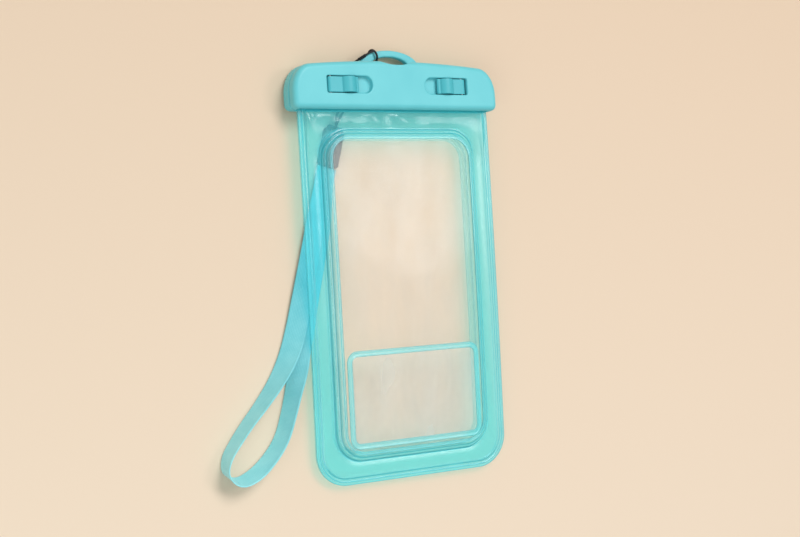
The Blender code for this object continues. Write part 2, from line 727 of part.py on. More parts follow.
def add_hitch():
    """The cord's bight round the eye's arch, as a plain ring."""
    centre, slope = hitch_centre()
    turned = Matrix.Rotation(slope, 3, "Z")
    ring_steps, tube_steps = 20, 8
    bm = bmesh.new()
    rows = []
    for i in range(ring_steps):
        angle = 2 * math.pi * i / ring_steps
        row = []
        for j in range(tube_steps):
            turn = 2 * math.pi * j / tube_steps
            reach = HITCH_RADIUS + CORD_RADIUS * math.cos(turn)
            point = Vector((CORD_RADIUS * math.sin(turn), reach * math.cos(angle), reach * math.sin(angle)))
            row.append(bm.verts.new(centre + turned @ point))
        rows.append(row)
    for i in range(ring_steps):
        a, b = rows[i], rows[(i + 1) % ring_steps]
        for j in range(tube_steps):
            k = (j + 1) % tube_steps
            bm.faces.new((a[j], a[k], b[k], b[j]))
    add_mesh("cord_hitch", bm, BLACK_CORD)


def beside_line(share, aside, z):
    """A place on the line from the hitch to the buckle's top, moved aside from it."""
    start = hitch_centre()[0].xy
    line = Vector(BUCKLE_TOP) - start
    place = start + line * share + line.normalized().orthogonal() * aside
    return Vector((place.x, place.y, z))


def cord_route():
    """The cord's route by hand: from the hitch, under the rear bar, round the plug's bar, and back."""
    r = CORD_RADIUS
    over = PLUG_BAR_HIGH + SEAT + r
    hitch, _ = hitch_centre()
    points = [
        Vector((hitch.x - 0.0004, hitch.y - 0.0026, r)),
        beside_line(0.164, 0.0015, r),
        beside_line(0.281, 0.0016, r),
        beside_line(0.494, 0.0000, r),
        beside_line(0.732, -0.0014, r),
        beside_line(0.860, -0.0016, r + SEAT),
        buckle_place(-0.0002, -0.0028, (over + r) / 2),
        buckle_place(-0.0002, -0.0004, over),
    ]
    middle = (over + r) / 2
    radius = (over - r) / 2
    turn_along = PLUG_BAR_WIDTH + SEAT + r - radius
    for i in range(9):
        angle = math.pi * i / 8
        along = turn_along + radius * math.sin(angle)
        points.append(buckle_place(0.0001 * i, along, middle + radius * math.cos(angle)))
    points += [
        buckle_place(0.0010, -0.0010, r),
        beside_line(0.858, 0.0007, r),
        beside_line(0.696, 0.0008, r),
        beside_line(0.462, 0.0020, r),
        beside_line(0.250, 0.0035, r),
        beside_line(0.137, 0.0032, r),
        Vector((hitch.x + 0.0016, hitch.y - 0.0026, r)),
    ]
    return points


def add_cord():
    curve = bpy.data.curves.new("lanyard_cord", "CURVE")
    curve.dimensions = "3D"
    curve.bevel_depth = CORD_RADIUS
    curve.bevel_resolution = 2
    curve.use_fill_caps = True
    spline = curve.splines.new("POLY")
    points = smooth_route(cord_route(), CORD_STEP)
    spline.points.add(len(points) - 1)
    for slot, point in zip(spline.points, points):
        slot.co = (*point, 1.0)
    add_material(curve, "lanyard_cord", BLACK_CORD)
    made = bpy.data.objects.new("lanyard_cord", curve)
    bpy.context.scene.collection.objects.link(made)


def add_plug():
    """The buckle's upper half: a head with a bar for the cord, and two sprung prongs."""
    half = BUCKLE_WIDTH / 2
    neck = PLUG_NECK_WIDTH / 2
    high = BUCKLE_THICKNESS
    shoulder = 2 * PLUG_BAR_WIDTH
    head = [
        (-neck, 0.0),
        (neck, 0.0),
        (half, shoulder),
        (half, PLUG_HEAD),
        (-half, PLUG_HEAD),
        (-half, shoulder),
    ]
    plug = add_mesh("buckle_plug", buckle_prism(head, 0.0, high), BLACK_PLASTIC)
    opening = neck - PLUG_BAR_WIDTH
    slot_end = PLUG_BAR_WIDTH + SEAT + 2 * CORD_RADIUS + 2 * SEAT
    slot = box_outline(-opening, opening, PLUG_BAR_WIDTH, slot_end)
    cut(plug, cutter("plug_slot", buckle_prism(slot, -SEAT, high + SEAT)))
    thin = box_outline(-half, half, -SEAT, PLUG_BAR_WIDTH + SEAT)
    cut(plug, cutter("plug_bar_under", buckle_prism(thin, -SEAT, PLUG_BAR_LOW)))
    cut(plug, cutter("plug_bar_over", buckle_prism(thin, PLUG_BAR_HIGH, high + SEAT)))
    root = half - SOCKET_WALL - SEAT - PRONG_SPLAY
    outline = [
        (root - PRONG_WIDTH, PLUG_HEAD - SOCKET_WALL),
        (root, PLUG_HEAD - SOCKET_WALL),
        (root, TAB_START),
        (half + TAB_RISE, TAB_START + 2 * SEAT),
        (half + TAB_RISE, TAB_END - 2 * SEAT),
        (root + PRONG_SPLAY, TAB_END),
        (root, PRONG_TIP),
        (root - PRONG_WIDTH, PRONG_TIP - PRONG_WIDTH),
    ]
    for hand in (-1, 1):
        side = [(hand * across, along) for across, along in outline]
        prong = buckle_prism(side, SOCKET_WALL + SEAT, high - SOCKET_WALL - SEAT)
        cut(plug, cutter(f"prong_{hand}", prong), "UNION")


def add_socket():
    """The buckle's lower half: a flat box, open at its mouth and at both sides for the tabs."""
    half = BUCKLE_WIDTH / 2
    high = BUCKLE_THICKNESS
    end = BUCKLE_LENGTH
    taper = SOCKET_WALL * 1.5
    shell = [
        (-half, SOCKET_MOUTH),
        (half, SOCKET_MOUTH),
        (half, end - taper),
        (half - taper, end),
        (taper - half, end),
        (-half, end - taper),
    ]
    socket = add_mesh("buckle_socket", buckle_prism(shell, 0.0, high), BLACK_PLASTIC)
    hollow = half - SOCKET_WALL
    inside = box_outline(-hollow, hollow, SOCKET_MOUTH - SEAT, PRONG_TIP + SEAT)
    cut(socket, cutter("socket_hollow", buckle_prism(inside, SOCKET_WALL, high - SOCKET_WALL)))
    side = box_outline(-half - SEAT, half + SEAT, TAB_START - SEAT, TAB_END + SEAT)
    cut(socket, cutter("socket_windows", buckle_prism(side, SOCKET_WALL, high - SOCKET_WALL)))


def ribbon_stations():
    """The strap's route by hand: out of the socket, round a turn on edge, and back underneath.
    Each station is the place of the edge that stays lowest, its height, and the lean in degrees,
    from 0 with one face up to 180 with the other face up."""
    layer = RIBBON_THICKNESS + SEAT
    first = buckle_place(-RIBBON_WIDTH / 2, BUCKLE_LENGTH + SEAT, 0.0)
    last = buckle_place(-RIBBON_WIDTH / 2, BUCKLE_LENGTH + SEAT + RIBBON_WIDTH / 2, 0.0)
    return [
        (first.x, first.y, layer, 0),
        (-0.0453, 0.0318, layer, 0),
        (-0.0488, 0.0205, layer, 0),
        (-0.0522, 0.0085, layer, 2),
        (-0.0555, -0.0030, 0.0010, 6),
        (-0.0588, -0.0145, 0.0008, 12),
        (-0.0625, -0.0275, 0.0003, 24),
        (-0.0668, -0.0395, 0.0, 46),
        (-0.0725, -0.0500, 0.0, 62),
        (-0.0807, -0.0608, 0.0, 72),
        (-0.0872, -0.0682, 0.0, 76),
        (-0.0930, -0.0755, 0.0, 79),
        (-0.0976, -0.0830, 0.0, 84),
        (-0.0976, -0.0895, 0.0, 96),
        (-0.0925, -0.0925, 0.0, 110),
        (-0.0860, -0.0905, 0.0, 115),
        (-0.0781, -0.0846, 0.0, 113),
        (-0.0715, -0.0765, 0.0, 111),
        (-0.0675, -0.0665, 0.0, 113),
        (-0.0645, -0.0559, 0.0, 120),
        (-0.0625, -0.0470, 0.0, 135),
        (-0.0608, -0.0370, 0.0, 154),
        (-0.0579, -0.0270, 0.0, 164),
        (-0.0547, -0.0145, 0.0, 171),
        (-0.0514, -0.0030, 0.0, 175),
        (-0.0482, 0.0085, 0.0, 179),
        (-0.0451, 0.0205, 0.0, 180),
        (-0.0434, 0.0318, 0.0, 180),
        (last.x, last.y, 0.0, 180),
        (first.x, first.y, 0.0, 180),
    ]


def add_ribbon():
    small = 1e-5
    stations = [Vector((x, y, low, lean * small)) for x, y, low, lean in ribbon_stations()]
    route = smooth_route(stations, RIBBON_STEP)
    half = RIBBON_THICKNESS / 2
    loops = []
    for i, station in enumerate(route):
        before = route[max(i - 1, 0)]
        after = route[min(i + 1, len(route) - 1)]
        travel = Vector((after.x - before.x, after.y - before.y, 0.0)).normalized()
        right = Vector((travel.y, -travel.x, 0.0))
        lean = math.radians(min(max(station.w / small, 0.0), 180.0))
        up = Vector((0.0, 0.0, 1.0))
        across = up * math.sin(lean) - right * math.cos(lean)
        face = up * math.cos(lean) + right * math.sin(lean)
        low = max(station.z, 0.0) + half * abs(math.cos(lean))
        foot = Vector((station.x, station.y, low))
        head = foot + across * RIBBON_WIDTH
        loops.append([foot - face * half, head - face * half, head + face * half, foot + face * half])
    add_mesh("strap_ribbon", loft(loops), TEAL_WEBBING)


add_bag()
add_touch_panel()
add_clamp()
add_plug()
add_socket()
add_hitch()
add_cord()
add_ribbon()
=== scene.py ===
"""Looks of the waterproof phone pouch. It lies on its back on the plane z = 0. X runs across the
bag, Y from the bag's bottom to the clamp, and Z out of the front window. Lengths are in metres."""

import math

import bmesh
import bpy
from mathutils import Matrix, Vector, noise


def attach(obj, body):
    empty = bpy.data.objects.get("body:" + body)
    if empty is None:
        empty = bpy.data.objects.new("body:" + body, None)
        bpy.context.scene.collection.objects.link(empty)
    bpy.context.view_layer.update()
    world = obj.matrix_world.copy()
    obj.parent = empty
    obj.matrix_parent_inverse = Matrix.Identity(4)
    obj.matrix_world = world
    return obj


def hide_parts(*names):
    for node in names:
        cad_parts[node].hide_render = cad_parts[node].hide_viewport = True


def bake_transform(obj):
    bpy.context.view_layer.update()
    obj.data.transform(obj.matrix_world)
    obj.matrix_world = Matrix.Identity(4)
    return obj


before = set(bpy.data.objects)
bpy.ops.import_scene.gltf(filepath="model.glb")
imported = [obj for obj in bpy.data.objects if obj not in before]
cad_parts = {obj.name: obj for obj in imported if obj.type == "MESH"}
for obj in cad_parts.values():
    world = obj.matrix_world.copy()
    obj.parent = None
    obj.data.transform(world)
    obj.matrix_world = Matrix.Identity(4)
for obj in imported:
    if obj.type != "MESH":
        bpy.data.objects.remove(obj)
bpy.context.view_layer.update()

# Sizes and places, as in the part's source
SEAT = 0.0003
BAG_WIDTH = 0.105
BAG_LENGTH = 0.1755
BAG_CORNER = 0.0155
FILM = 0.0005
WELD_BORDER = 0.0030
SIDE_BAND = 0.0101
BOTTOM_BAND = 0.0105
TOP_BAND = 0.0092
DISH_CORNER = 0.014
DISH_WALL = 0.0031
DISH_LIP = 0.0015
FRONT_DISH = 0.0042
BACK_DISH = 0.0036
NECK_PUFF = 0.0022
NECK_LENGTH = 0.0060
WINDOW_SHEET = 0.0004
PANEL_LENGTH = 0.046
PANEL_EDGE_GAP = 0.0012
PANEL_RIM = 0.0028
PANEL_CORNER = 0.0055
CLAMP_HEIGHT = 0.0220
REAR_BAR = 0.0073
GRIP_START = 0.0010
PLATE_HEIGHT = 0.0045
ARCH_HALF_WIDTH = 0.0166
ARCH_RISE = 0.0078
EYE_HALF_WIDTH = 0.0104
EYE_RISE = 0.0046
ARCH_HEIGHT = 0.0037
CORD_RADIUS = 0.00055
HITCH_PLACE = -0.0080
HITCH_RADIUS = 0.00305
BUCKLE_LENGTH = 0.0200
PLUG_BAR_WIDTH = 0.0014
PLUG_BAR_THICKNESS = 0.0008
BUCKLE_TILT = math.radians(16.5)
BUCKLE_TOP = (-0.0299, 0.0662)
RIBBON_WIDTH = 0.0100
RIBBON_THICKNESS = 0.0008

BAG_BOTTOM = -(BAG_LENGTH + CLAMP_HEIGHT + ARCH_RISE) / 2
CLAMP_BOTTOM = BAG_BOTTOM + BAG_LENGTH
CLAMP_TOP = CLAMP_BOTTOM + CLAMP_HEIGHT
SPLIT = SEAT / 2
WELD_PLANE = REAR_BAR + SPLIT
DISH_BOTTOM = BAG_BOTTOM + BOTTOM_BAND
DISH_TOP = CLAMP_BOTTOM - TOP_BAND
BAG_SAG = (WELD_PLANE - BACK_DISH - FILM) / ((CLAMP_BOTTOM - DISH_BOTTOM - DISH_WALL) / BAG_LENGTH) ** 2
GRIP_TOP = CLAMP_BOTTOM + GRIP_START + PLATE_HEIGHT
NECK_TOP = CLAMP_BOTTOM - (TOP_BAND - NECK_LENGTH)

# Camera at the photograph's viewing angle. Its lens and sensor are in millimetres.
CAMERA_LENS = 63.38
CAMERA_SENSOR = 36.0
CAMERA_PLACE = (-0.3466, -0.0165, 0.5870)
CAMERA_RIGHT = (0.8589, -0.0668, 0.5077)
CAMERA_UP = (0.0472, 0.9976, 0.0515)
CAMERA_BACK = (-0.5099, -0.0203, 0.8600)
LAYERS_SEEN_THROUGH = 32


def add_camera():
    data = bpy.data.cameras.new("camera")
    data.sensor_fit = "HORIZONTAL"
    data.sensor_width = CAMERA_SENSOR
    data.lens = CAMERA_LENS
    data.clip_start = 0.01
    data.clip_end = 20.0
    made = bpy.data.objects.new("camera", data)
    place = Matrix((CAMERA_RIGHT, CAMERA_UP, CAMERA_BACK)).transposed().to_4x4()
    place.translation = CAMERA_PLACE
    made.matrix_world = place
    scene = bpy.context.scene
    scene.collection.objects.link(made)
    scene.camera = made
    scene.view_settings.view_transform = "Standard"
    scene.cycles.transparent_max_bounces = LAYERS_SEEN_THROUGH


add_camera()


# Materials
def new_material(name, colour, roughness, **sockets):
    made = bpy.data.materials.new(name)
    made.use_nodes = True
    shader = made.node_tree.nodes["Principled BSDF"]
    shader.inputs["Base Color"].default_value = (*colour, 1.0)
    shader.inputs["Roughness"].default_value = roughness
    for socket, value in sockets.items():
        shader.inputs[socket.replace("_", " ")].default_value = value
    return made


def link(made, value, socket):
    """Another node's output, or a plain value, goes into a socket."""
    if isinstance(value, bpy.types.NodeSocket):
        made.node_tree.links.new(value, socket)
    else:
        socket.default_value = value


def node(made, kind, **settings):
    """A new node. Settings that are sockets take a value or another node's output."""
    new = made.node_tree.nodes.new(kind)
    for key, value in settings.items():
        socket = new.inputs.get(key.replace("_", " "))
        if socket is None or hasattr(new, key):
            setattr(new, key, value)
        else:
            link(made, value, socket)
    return new


def shader_of(made):
    return made.node_tree.nodes["Principled BSDF"]


def combine(made, operation, *values):
    """A math node's result."""
    new = node(made, "ShaderNodeMath", operation=operation)
    for value, socket in zip(values, new.inputs):
        link(made, value, socket)
    return new.outputs[0]


def mottle(made, scale, detail=3.0, roughness=0.55, stretch=(1.0, 1.0, 1.0)):
    """A noise texture's factor. Scale is in cells a metre."""
    coords = node(made, "ShaderNodeTexCoord").outputs["Object"]
    mapped = node(made, "ShaderNodeMapping", Vector=coords, Scale=stretch).outputs[0]
    texture = node(
        made, "ShaderNodeTexNoise", Vector=mapped, Scale=scale, Detail=detail, Roughness=roughness
    )
    return texture.outputs["Fac"]


def spread(made, factor, low, high, start=0.3, end=0.7):
    """A factor read between start and end, as a value from low to high."""
    ranged = node(made, "ShaderNodeMapRange", Value=factor)
    ranged.inputs["From Min"].default_value = start
    ranged.inputs["From Max"].default_value = end
    ranged.inputs["To Min"].default_value = low
    ranged.inputs["To Max"].default_value = high
    return ranged.outputs["Result"]


def blend_colours(made, factor, low, high):
    """The colour between low and high, by a factor from 0 to 1."""
    mixed = node(made, "ShaderNodeMix", data_type="RGBA")
    factor_socket, low_socket, high_socket = mixed.inputs[0], mixed.inputs[6], mixed.inputs[7]
    link(made, factor, factor_socket)
    for value, socket in ((low, low_socket), (high, high_socket)):
        link(made, value if isinstance(value, bpy.types.NodeSocket) else (*value, 1.0), socket)
    return mixed.outputs[2]


def drift_between(made, factor, low, high):
    """A noise's factor, read as a colour that drifts between two."""
    return blend_colours(made, spread(made, factor, 0.0, 1.0), low, high)


def connect(made, output, socket):
    made.node_tree.links.new(output, shader_of(made).inputs[socket])


def add_bump(made, height, strength, distance):
    bump = node(made, "ShaderNodeBump", Height=height, Strength=strength, Distance=distance)
    connect(made, bump.outputs[0], "Normal")


def moulded_plastic(name, low, high, roughness=(0.36, 0.48), grain=1800.0, strength=0.12):
    """Moulded plastic: slow colour drift, fine grain, uneven gloss."""
    made = new_material(name, low, roughness[0], IOR=1.46)
    drift = mottle(made, scale=45.0, detail=2.0)
    connect(made, drift_between(made, drift, low, high), "Base Color")
    fine = mottle(made, scale=grain, detail=4.0, roughness=0.6)
    connect(made, spread(made, fine, *roughness), "Roughness")
    add_bump(made, fine, strength, distance=0.00005)
    return made


FILM_COLOUR_DRIFT = 0.35
FILM_SHADOW = 0.10


def film_material(name, light, deep, tint, cover, dense, gloss):
    """Tinted soft film: deeper and denser where it is creased or welded, with an orange-peel gloss.

    What the film covers goes from cover, where it is plain, to dense, and the rest is seen through it."""
    made = new_material(name, light, 0.2, IOR=gloss)
    tone = node(made, "ShaderNodeAttribute", attribute_name="tone").outputs["Fac"]
    drift = mottle(made, scale=60.0, detail=3.0)
    depth = combine(made, "MULTIPLY_ADD", drift, FILM_COLOUR_DRIFT, tone)
    depth = spread(made, depth, 0.0, 1.0, 0.1, 1.2)
    connect(made, blend_colours(made, depth, light, deep), "Base Color")
    # The film scatters light forward, so its shadow is lighter than the film looks
    in_shadow = node(made, "ShaderNodeLightPath").outputs["Is Shadow Ray"]
    shadow = spread(made, in_shadow, 1.0, FILM_SHADOW, 0.0, 1.0)
    covered = combine(made, "MULTIPLY", spread(made, tone, cover, dense, 0.0, 1.0), shadow)
    passed = node(made, "ShaderNodeBsdfTransparent", Color=(*tint, 1.0))
    mixed = node(made, "ShaderNodeMixShader", Fac=covered)
    link(made, passed.outputs[0], mixed.inputs[1])
    link(made, shader_of(made).outputs[0], mixed.inputs[2])
    link(made, mixed.outputs[0], made.node_tree.nodes["Material Output"].inputs["Surface"])
    peel = mottle(made, scale=420.0, detail=2.0, roughness=0.5)
    connect(made, spread(made, peel, 0.14, 0.26), "Roughness")
    add_bump(made, peel, strength=0.25, distance=0.00008)
    return made


def clear_material(name, tint, alpha, roughness):
    """Clear film with faint haze in long soft marks, and ripples in its gloss."""
    made = new_material(name, tint, roughness, IOR=1.45, Transmission_Weight=0.7)
    haze = mottle(made, scale=90.0, detail=1.5, roughness=0.5, stretch=(1.0, 0.35, 1.0))
    connect(made, spread(made, haze, alpha, alpha + 0.10), "Alpha")
    connect(made, spread(made, haze, roughness, roughness + 0.06), "Roughness")
    add_bump(made, mottle(made, scale=45.0, detail=1.0), strength=0.12, distance=0.0006)
    return made


# Places along the ribbon, from where it leaves the buckle: the loop's far end, and the stretch over
# which the painted shade near the buckle fades to the strap's lit colour
RIBBON_LOOP_END = 0.160
RIBBON_PAINTED_SHADE_TO = 0.06
RIBBON_PAINTED_SHADE_FADES_BY = 0.14


def thread_lines(made, coords, scale, direction, distortion):
    """Lines of thread across the strap, in the strap's own measure."""
    lines = node(
        made, "ShaderNodeTexWave", Vector=coords, Scale=scale, bands_direction=direction,
        Distortion=distortion, Detail=1.0,
    )
    return lines.outputs["Fac"]


def webbing_material():
    """Fine woven strap with weft ribs across it and warp lines along it; painted shade near the buckle,
    painted highlight on raised threads.
    """
    made = new_material("teal_webbing", (0.17, 0.58, 0.62), 0.6, Sheen_Weight=0.25, Sheen_Roughness=0.4)
    coords = node(made, "ShaderNodeUVMap", uv_map="cloth").outputs[0]
    ribs = thread_lines(made, coords, 520.0, "Y", 0.6)
    warp = thread_lines(made, coords, 420.0, "X", 0.4)
    weave = combine(made, "MULTIPLY", ribs, warp)
    drift = mottle(made, scale=140.0, detail=3.0)
    along = node(made, "ShaderNodeSeparateXYZ", Vector=coords).outputs["Y"]
    from_buckle = combine(made, "PINGPONG", along, RIBBON_LOOP_END)
    # Painted shade: the strap runs from a darker, shaded teal (near) at the buckle to its lit teal (far)
    # along the loop
    painted_shade_fade = spread(made, from_buckle, 0.0, 1.0, RIBBON_PAINTED_SHADE_TO, RIBBON_PAINTED_SHADE_FADES_BY)
    near = drift_between(made, drift, (0.07, 0.46, 0.53), (0.12, 0.53, 0.60))
    far = drift_between(made, drift, (0.27, 0.73, 0.78), (0.34, 0.80, 0.84))
    base = blend_colours(made, painted_shade_fade, near, far)
    # Painted highlight: the weave's raised threads are lightened towards a pale teal, as if catching the
    # light
    raised_painted_highlight = spread(made, weave, 0.0, 0.35, 0.0, 1.0)
    connect(made, blend_colours(made, raised_painted_highlight, base, (0.40, 0.81, 0.83)), "Base Color")
    connect(made, spread(made, weave, 0.66, 0.5, 0.0, 1.0), "Roughness")
    add_bump(made, weave, strength=0.5, distance=0.00012)
    return made


def cord_material():
    made = new_material("black_cord", (0.005, 0.005, 0.006), 0.75, Sheen_Weight=0.04)
    fibre = mottle(made, scale=5200.0, detail=3.0, roughness=0.6)
    connect(made, drift_between(made, fibre, (0.003, 0.003, 0.004), (0.012, 0.012, 0.014)), "Base Color")
    connect(made, spread(made, fibre, 0.6, 0.85), "Roughness")
    add_bump(made, fibre, strength=0.4, distance=0.0001)
    return made


def metal_material():
    made = new_material("pin_steel", (0.55, 0.56, 0.57), 0.3, Metallic=1.0)
    lines = mottle(made, scale=900.0, detail=3.0, roughness=0.6, stretch=(1.0, 12.0, 1.0))
    connect(made, drift_between(made, lines, (0.45, 0.46, 0.47), (0.66, 0.67, 0.68)), "Base Color")
    connect(made, spread(made, lines, 0.24, 0.42), "Roughness")
    add_bump(made, lines, strength=0.1, distance=0.00003)
    return made


def rubber_material():
    made = new_material("seal_rubber", (0.70, 0.83, 0.83), 0.6)
    fine = mottle(made, scale=1300.0, detail=3.0)
    connect(made, drift_between(made, fine, (0.66, 0.80, 0.80), (0.74, 0.86, 0.86)), "Base Color")
    connect(made, spread(made, fine, 0.52, 0.68), "Roughness")
    add_bump(made, fine, strength=0.2, distance=0.00005)
    return made


plastic = moulded_plastic("teal_plastic", (0.125, 0.555, 0.61), (0.152, 0.60, 0.65))
inner_plastic = moulded_plastic(
    "teal_inner_plastic", (0.15, 0.57, 0.63), (0.18, 0.62, 0.67), roughness=(0.42, 0.55)
)
# Painted shade: the levers take a darker copy of the teal plastic, standing in for the shade of their slots
lever_plastic_painted_shade = moulded_plastic("teal_lever_plastic", (0.058, 0.44, 0.50), (0.080, 0.48, 0.54))
black_plastic = moulded_plastic(
    "black_plastic", (0.016, 0.017, 0.018), (0.026, 0.027, 0.028),
    roughness=(0.38, 0.52), grain=2600.0, strength=0.2,
)
film = film_material(
    "teal_film", light=(0.20, 0.93, 1.00), deep=(0.00, 0.31, 0.37), tint=(0.73, 0.98, 1.0),
    cover=0.28, dense=0.88, gloss=2.0,
)
back_film = film_material(
    "teal_back_film", light=(0.20, 0.96, 1.00), deep=(0.00, 0.34, 0.40), tint=(0.75, 0.98, 1.0),
    cover=0.06, dense=0.50, gloss=1.9,
)
film_inside = film_material(
    "teal_film_inside", light=(0.08, 0.96, 1.00), deep=(0.04, 0.80, 0.86), tint=(1.0, 1.0, 1.0),
    cover=0.01, dense=0.06, gloss=1.4,
)
rim_film = film_material(
    "teal_rim_film", light=(0.30, 0.95, 1.00), deep=(0.02, 0.50, 0.54), tint=(0.90, 1.0, 1.0),
    cover=0.12, dense=0.70, gloss=1.8,
)
clear = clear_material("clear_film", (0.96, 1.0, 1.0), alpha=0.05, roughness=0.05)
touch_clear = clear_material("clear_touch_film", (0.88, 0.98, 1.0), alpha=0.16, roughness=0.28)
webbing = webbing_material()
cord_black = cord_material()
steel = metal_material()
rubber = rubber_material()


# Meshes
def smooth_share(value, start, end):
    share = min(1.0, max(0.0, (value - start) / (end - start)))
    return share * share * (3 - 2 * share)


def add_mesh(name, bm, material):
    bmesh.ops.recalc_face_normals(bm, faces=bm.faces)
    mesh = bpy.data.meshes.new(name)
    bm.to_mesh(mesh)
    bm.free()
    mesh.shade_smooth()
    mesh.materials.append(material)
    made = bpy.data.objects.new(name, mesh)
    bpy.context.scene.collection.objects.link(made)
    return made


def dress(piece, body, nodes):
    """The piece rides on its body and stands for its nodes."""
    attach(piece, body)
    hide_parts(*nodes)
    return piece


SPLINE_STEPS = 24


def smooth_route(points, step):
    """A centripetal spline through the route's points, read at an even step."""
    ends = [2 * points[0] - points[1]] + points + [2 * points[-1] - points[-2]]
    dense = []
    for a, b, c, d in zip(ends, ends[1:], ends[2:], ends[3:]):
        t0 = 0.0
        t1 = t0 + math.sqrt((b - a).length)
        t2 = t1 + math.sqrt((c - b).length)
        t3 = t2 + math.sqrt((d - c).length)
        for i in range(SPLINE_STEPS):
            t = t1 + (t2 - t1) * i / SPLINE_STEPS
            ab = a.lerp(b, (t - t0) / (t1 - t0))
            bc = b.lerp(c, (t - t1) / (t2 - t1))
            cd = c.lerp(d, (t - t2) / (t3 - t2))
            abc = ab.lerp(bc, (t - t0) / (t2 - t0))
            bcd = bc.lerp(cd, (t - t1) / (t3 - t1))
            dense.append(abc.lerp(bcd, (t - t1) / (t2 - t1)))
    dense.append(points[-1])
    lengths = [0.0]
    for a, b in zip(dense, dense[1:]):
        lengths.append(lengths[-1] + (b - a).length)
    count = max(2, round(lengths[-1] / step))
    read = []
    k = 0
    for i in range(count + 1):
        wanted = lengths[-1] * i / count
        while k < len(dense) - 2 and lengths[k + 1] < wanted:
            k += 1
        share = (wanted - lengths[k]) / (lengths[k + 1] - lengths[k])
        read.append(dense[k].lerp(dense[k + 1], share))
    return read


STRANDS = 3
STRAND_PITCH = 0.0032
STRAND_DEPTH = 0.13
TUBE_SIDES = 12


def twisted_tube(path, radius, closed=False):
    """A tube of twisted strands along a path. The grooves between them are a share of its radius."""
    count = len(path)
    bm = bmesh.new()
    rows = []
    side = None
    travelled = 0.0
    for i, point in enumerate(path):
        before = path[(i - 1) % count] if closed else path[max(i - 1, 0)]
        after = path[(i + 1) % count] if closed else path[min(i + 1, count - 1)]
        tangent = (after - before).normalized()
        if side is None:
            side = tangent.orthogonal()
        side = (side - tangent * side.dot(tangent)).normalized()
        other = tangent.cross(side)
        turn = 2 * math.pi * travelled / STRAND_PITCH
        row = []
        for j in range(TUBE_SIDES):
            angle = 2 * math.pi * j / TUBE_SIDES
            groove = 0.5 - 0.5 * math.cos(STRANDS * (angle - turn))
            reach = radius * (1.0 - STRAND_DEPTH * groove)
            place = point + side * (reach * math.cos(angle)) + other * (reach * math.sin(angle))
            row.append(bm.verts.new(place))
        rows.append(row)
        travelled += (after - point).length
    pairs = list(zip(rows, rows[1:]))
    if closed:
        pairs.append((rows[-1], rows[0]))
    for a, b in pairs:
        for j in range(TUBE_SIDES):
            k = (j + 1) % TUBE_SIDES
            bm.faces.new((a[j], a[k], b[k], b[j]))
    if not closed:
        bm.faces.new(list(reversed(rows[0])))
        bm.faces.new(rows[-1])
    return bm


# Lanyard cord, on the route in the part's source
CORD_STEP = 0.0004
TURN_STEPS = 8


def buckle_place(across, along, z):
    turned = Matrix.Rotation(-BUCKLE_TILT, 3, "Z") @ Vector((across, -along, 0.0))
    return Vector((BUCKLE_TOP[0] + turned.x, BUCKLE_TOP[1] + turned.y, z))


def hitch_centre():
    """The middle of the arch's bar where the cord is hitched to it, and the bar's direction there."""
    half_width = (ARCH_HALF_WIDTH + EYE_HALF_WIDTH) / 2
    rise = (ARCH_RISE + EYE_RISE) / 2
    angle = math.acos(HITCH_PLACE / half_width)
    place = Vector((HITCH_PLACE, CLAMP_TOP + rise * math.sin(angle), ARCH_HEIGHT))
    return place, math.atan2(rise * math.cos(angle), -half_width * math.sin(angle)) + math.pi


def beside_line(share, aside, z):
    """A place on the line from the hitch to the buckle's top, moved aside from it."""
    start = hitch_centre()[0].xy
    line = Vector(BUCKLE_TOP) - start
    place = start + line * share + line.normalized().orthogonal() * aside
    return Vector((place.x, place.y, z))


def cord_route():
    r = CORD_RADIUS
    over = 2 * r + SEAT + PLUG_BAR_THICKNESS + SEAT + r
    hitch, _ = hitch_centre()
    points = [
        Vector((hitch.x - 0.0004, hitch.y - 0.0026, r)),
        beside_line(0.164, 0.0015, r),
        beside_line(0.281, 0.0016, r),
        beside_line(0.494, 0.0000, r),
        beside_line(0.732, -0.0014, r),
        beside_line(0.860, -0.0016, r + SEAT),
        buckle_place(-0.0002, -0.0028, (over + r) / 2),
        buckle_place(-0.0002, -0.0004, over),
    ]
    middle = (over + r) / 2
    radius = (over - r) / 2
    turn_along = PLUG_BAR_WIDTH + SEAT + r - radius
    for i in range(TURN_STEPS + 1):
        angle = math.pi * i / TURN_STEPS
        along = turn_along + radius * math.sin(angle)
        points.append(buckle_place(0.0001 * i, along, middle + radius * math.cos(angle)))
    points += [
        buckle_place(0.0010, -0.0010, r),
        beside_line(0.858, 0.0007, r),
        beside_line(0.696, 0.0008, r),
        beside_line(0.462, 0.0020, r),
        beside_line(0.250, 0.0035, r),
        beside_line(0.137, 0.0032, r),
        Vector((hitch.x + 0.0016, hitch.y - 0.0026, r)),
    ]
    return points


RING_STEPS = 64
RING_OVAL = 0.03
RING_OVAL_TURN = 0.6
RING_LEAN = 0.0004


def hitch_ring():
    """The cord's bight round the eye's arch: one turn, a little oval and leaning a little."""
    centre, slope = hitch_centre()
    turned = Matrix.Rotation(slope, 3, "Z")
    ring = []
    for i in range(RING_STEPS):
        angle = 2 * math.pi * i / RING_STEPS
        reach = HITCH_RADIUS * (1.0 - RING_OVAL * math.cos(2 * angle + RING_OVAL_TURN))
        lean = RING_LEAN * math.sin(angle)
        ring.append(centre + turned @ Vector((lean, reach * math.cos(angle), reach * math.sin(angle))))
    return ring


